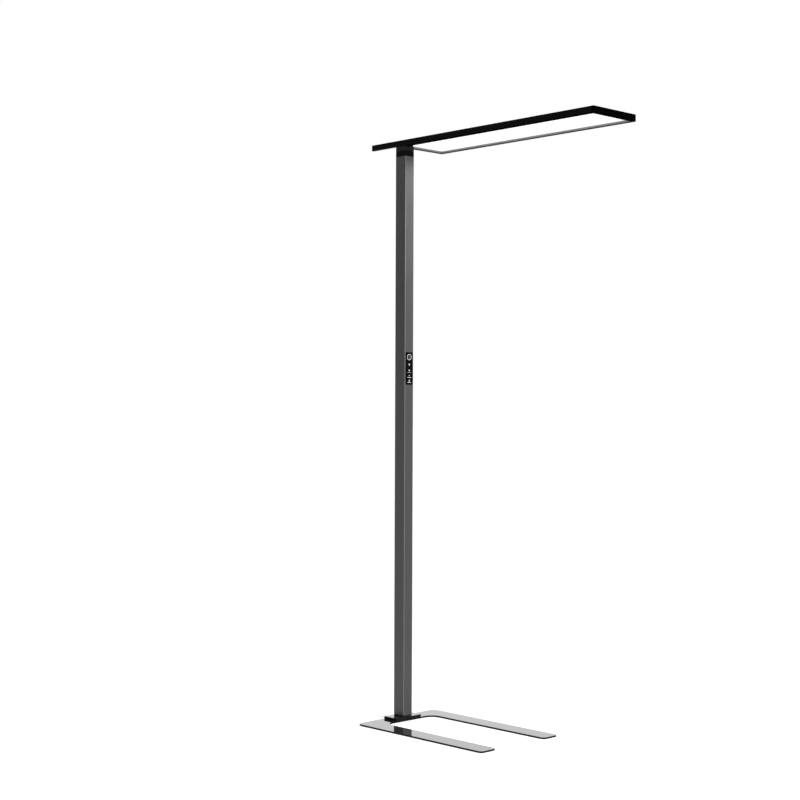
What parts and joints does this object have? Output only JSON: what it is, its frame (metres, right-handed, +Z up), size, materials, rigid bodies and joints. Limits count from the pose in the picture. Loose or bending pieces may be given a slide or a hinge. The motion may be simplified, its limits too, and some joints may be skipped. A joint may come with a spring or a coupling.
{
  "type": "piano lamp",
  "caption": "Free-standing light for a piano: long flat lit panel on a rectangular pole with a key strip, standing on a thin U-shaped floor plate.",
  "frame": {"origin": "on the floor under the axis of the pole, in the underside of the non-slip pad", "axes": "+Z up the pole, +X along the light head and the prongs of the base, +Y away from the player"},
  "size_m": [1.05, 0.3905, 2.1],
  "materials": {
    "plate_lacquer": "high-gloss black lacquer",
    "foot_lacquer": "high-gloss black lacquer",
    "pole_black": "satin black anodised",
    "neck_black": "satin black anodised",
    "end_black": "matt black",
    "frame_black": "satin black anodised",
    "collar_black": "matt black",
    "rubber_black": "matt",
    "alloy": "as machined",
    "steel": "zinc plated",
    "steel_black": "black oxide",
    "brass_pin": "bright",
    "strip_gloss": "gloss black",
    "key_gloss": "gloss black",
    "board_green": "solder mask",
    "board_white": "white solder mask",
    "chip_white": "moulded",
    "plastic_white": "satin white",
    "opal": "opal, lit from behind",
    "plastic_black": "satin black",
    "wire_sheath": "matt"
  },
  "bodies": {
    "stand": {"base_plate": "plate_lacquer", "foot_block": "foot_lacquer", "floor_pad": "rubber_black", "foot_gasket": "rubber_black", "foot_screws": "steel_black", "pole_screws": "steel", "pole_plug_low": "alloy", "pole": "pole_black", "pole_plug_top": "alloy", "wall_screws": "steel_black", "power_inlet": "plastic_black", "inlet_pin": "brass_pin", "inlet_nut": "steel", "led_driver": "plastic_white", "inlet_wire": "wire_sheath", "riser_wire": "wire_sheath", "panel_wire": "wire_sheath", "wire_clips": "plastic_white", "strip_housing": "strip_gloss", "control_board": "board_green", "key_switches": "plastic_black", "swivel_collar": "collar_black", "collar_screws": "steel_black", "slip_washer": "plastic_white"},
    "head": {"neck_block": "neck_black", "neck_screws": "steel", "neck_lid": "neck_black", "head_screws": "steel", "swivel_shaft": "steel", "flange_screws": "steel", "stop_pin": "steel", "thrust_washer": "steel", "spring_washer": "steel", "swivel_nut": "steel", "near_rail": "frame_black", "far_rail": "frame_black", "left_end": "frame_black", "right_end": "end_black", "panel_bezel": "end_black", "tail_cap": "frame_black", "corner_cap": "frame_black", "rail_insert": "steel", "mount_bracket": "neck_black", "corner_bracket": "alloy", "bracket_screws": "steel", "corner_keys": "alloy", "key_screws": "steel", "grub_screws": "steel", "top_cover": "frame_black", "cover_screws": "steel_black", "led_boards": "board_white", "led_chips": "chip_white", "reflector": "plastic_white", "diffuser": "opal", "head_wire": "wire_sheath"},
    "power_key_cap": {"power_key": "key_gloss"},
    "light_key_cap": {"light_key": "key_gloss"},
    "tone_key_cap": {"tone_key": "key_gloss"},
    "more_key_cap": {"more_key": "key_gloss"},
    "less_key_cap": {"less_key": "key_gloss"}
  },
  "joints": [
    {"name": "head_swivel", "type": "hinge", "parent": "stand", "child": "head", "pos_m": [0, 0, 2.0605], "axis": [0, 0, 1], "range_deg": [-90, 90]},
    {"name": "power_press", "type": "slide", "parent": "stand", "child": "power_key_cap", "axis": [-1, 0, 0], "range_m": [0, 0.0008], "stiffness_N_per_m": 1500, "springref_m": -0.0003},
    {"name": "light_press", "type": "slide", "parent": "stand", "child": "light_key_cap", "axis": [-1, 0, 0], "range_m": [0, 0.0008], "stiffness_N_per_m": 1500, "springref_m": -0.0003},
    {"name": "tone_press", "type": "slide", "parent": "stand", "child": "tone_key_cap", "axis": [-1, 0, 0], "range_m": [0, 0.0008], "stiffness_N_per_m": 1500, "springref_m": -0.0003},
    {"name": "more_press", "type": "slide", "parent": "stand", "child": "more_key_cap", "axis": [-1, 0, 0], "range_m": [0, 0.0008], "stiffness_N_per_m": 1500, "springref_m": -0.0003},
    {"name": "less_press", "type": "slide", "parent": "stand", "child": "less_key_cap", "axis": [-1, 0, 0], "range_m": [0, 0.0008], "stiffness_N_per_m": 1500, "springref_m": -0.0003}
  ]
}
